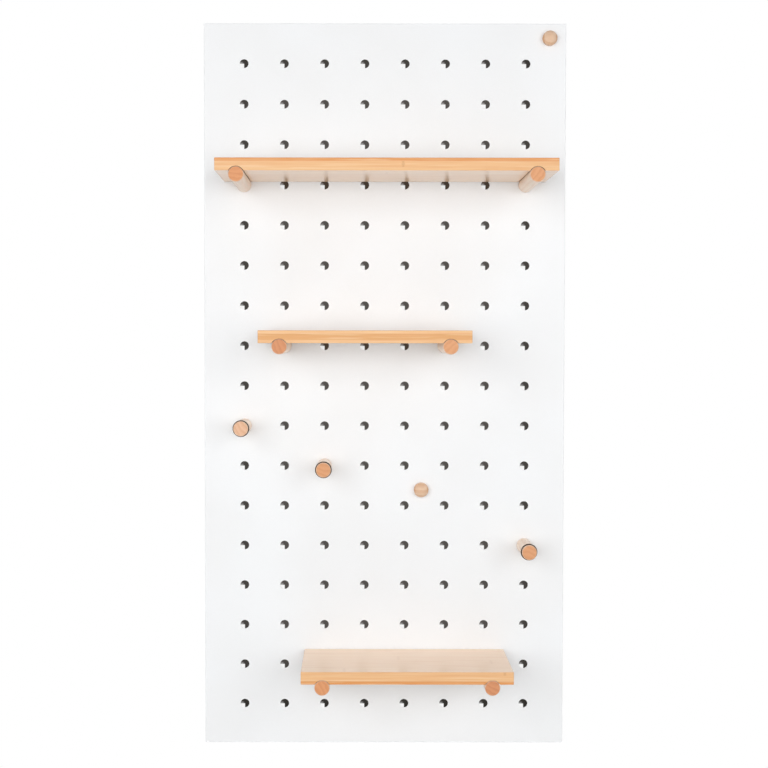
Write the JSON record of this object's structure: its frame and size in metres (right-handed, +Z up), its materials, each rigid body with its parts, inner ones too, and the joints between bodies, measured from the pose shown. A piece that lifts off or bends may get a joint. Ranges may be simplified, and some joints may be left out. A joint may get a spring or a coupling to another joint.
{
  "type": "pegboard",
  "caption": "Wall pegboard of folded perforated sheet steel with wooden shelves on dowel pins, short coat pegs and round magnet knobs.",
  "frame": {"origin": "in the plane of the wall, at the centre of the four keyholes' round entries", "axes": "+X to the right as seen from the room, +Y from the room into the wall, +Z up; the front of the board faces -Y"},
  "size_m": [0.45, 0.135, 0.9],
  "materials": {
    "board_powder_coat": "fine white powder coat, satin",
    "shelf_bamboo": "oiled, sanded smooth",
    "peg_dowel": "oiled, turned smooth",
    "ring_rubber": "matt moulded rubber",
    "magnet_plating": "bright nickel plate"
  },
  "bodies": {
    "board": {"steel_board": "board_powder_coat"},
    "upper_shelf": {"upper_shelf": "shelf_bamboo"},
    "upper_shelf_left_pin": {"upper_shelf_left_pin": "peg_dowel", "upper_shelf_left_pin_ring": "ring_rubber"},
    "upper_shelf_right_pin": {"upper_shelf_right_pin": "peg_dowel", "upper_shelf_right_pin_ring": "ring_rubber"},
    "middle_shelf": {"middle_shelf": "shelf_bamboo"},
    "middle_shelf_left_pin": {"middle_shelf_left_pin": "peg_dowel", "middle_shelf_left_pin_ring": "ring_rubber"},
    "middle_shelf_right_pin": {"middle_shelf_right_pin": "peg_dowel", "middle_shelf_right_pin_ring": "ring_rubber"},
    "lower_shelf": {"lower_shelf": "shelf_bamboo"},
    "lower_shelf_left_pin": {"lower_shelf_left_pin": "peg_dowel", "lower_shelf_left_pin_ring": "ring_rubber"},
    "lower_shelf_right_pin": {"lower_shelf_right_pin": "peg_dowel", "lower_shelf_right_pin_ring": "ring_rubber"},
    "left_coat_peg": {"left_coat_peg": "peg_dowel", "left_coat_peg_hole_ring": "ring_rubber", "left_coat_peg_grip_ring": "ring_rubber"},
    "middle_coat_peg": {"middle_coat_peg": "peg_dowel", "middle_coat_peg_hole_ring": "ring_rubber", "middle_coat_peg_grip_ring": "ring_rubber"},
    "right_coat_peg": {"right_coat_peg": "peg_dowel", "right_coat_peg_hole_ring": "ring_rubber", "right_coat_peg_grip_ring": "ring_rubber"},
    "top_knob": {"top_knob": "peg_dowel", "top_knob_magnet": "magnet_plating"},
    "centre_knob": {"centre_knob": "peg_dowel", "centre_knob_magnet": "magnet_plating"}
  },
  "joints": [
    {"name": "upper_shelf_draw", "type": "slide", "parent": "board", "child": "upper_shelf", "axis": [0, -1, 0], "range_m": [0, 0.13]},
    {"name": "upper_shelf_left_pin_pull", "type": "slide", "parent": "board", "child": "upper_shelf_left_pin", "axis": [0, -1, 0], "range_m": [0, 0.14]},
    {"name": "upper_shelf_right_pin_pull", "type": "slide", "parent": "board", "child": "upper_shelf_right_pin", "axis": [0, -1, 0], "range_m": [0, 0.14]},
    {"name": "middle_shelf_draw", "type": "slide", "parent": "board", "child": "middle_shelf", "axis": [0, -1, 0], "range_m": [0, 0.13]},
    {"name": "middle_shelf_left_pin_pull", "type": "slide", "parent": "board", "child": "middle_shelf_left_pin", "axis": [0, -1, 0], "range_m": [0, 0.14]},
    {"name": "middle_shelf_right_pin_pull", "type": "slide", "parent": "board", "child": "middle_shelf_right_pin", "axis": [0, -1, 0], "range_m": [0, 0.14]},
    {"name": "lower_shelf_draw", "type": "slide", "parent": "board", "child": "lower_shelf", "axis": [0, -1, 0], "range_m": [0, 0.13]},
    {"name": "lower_shelf_left_pin_pull", "type": "slide", "parent": "board", "child": "lower_shelf_left_pin", "axis": [0, -1, 0], "range_m": [0, 0.14]},
    {"name": "lower_shelf_right_pin_pull", "type": "slide", "parent": "board", "child": "lower_shelf_right_pin", "axis": [0, -1, 0], "range_m": [0, 0.14]},
    {"name": "left_coat_peg_pull", "type": "slide", "parent": "board", "child": "left_coat_peg", "axis": [0, -1, 0], "range_m": [0, 0.08]},
    {"name": "middle_coat_peg_pull", "type": "slide", "parent": "board", "child": "middle_coat_peg", "axis": [0, -1, 0], "range_m": [0, 0.08]},
    {"name": "right_coat_peg_pull", "type": "slide", "parent": "board", "child": "right_coat_peg", "axis": [0, -1, 0], "range_m": [0, 0.08]},
    {"name": "top_knob_pull", "type": "slide", "parent": "board", "child": "top_knob", "axis": [0, -1, 0], "range_m": [0, 0.03]},
    {"name": "centre_knob_pull", "type": "slide", "parent": "board", "child": "centre_knob", "axis": [0, -1, 0], "range_m": [0, 0.03]}
  ]
}
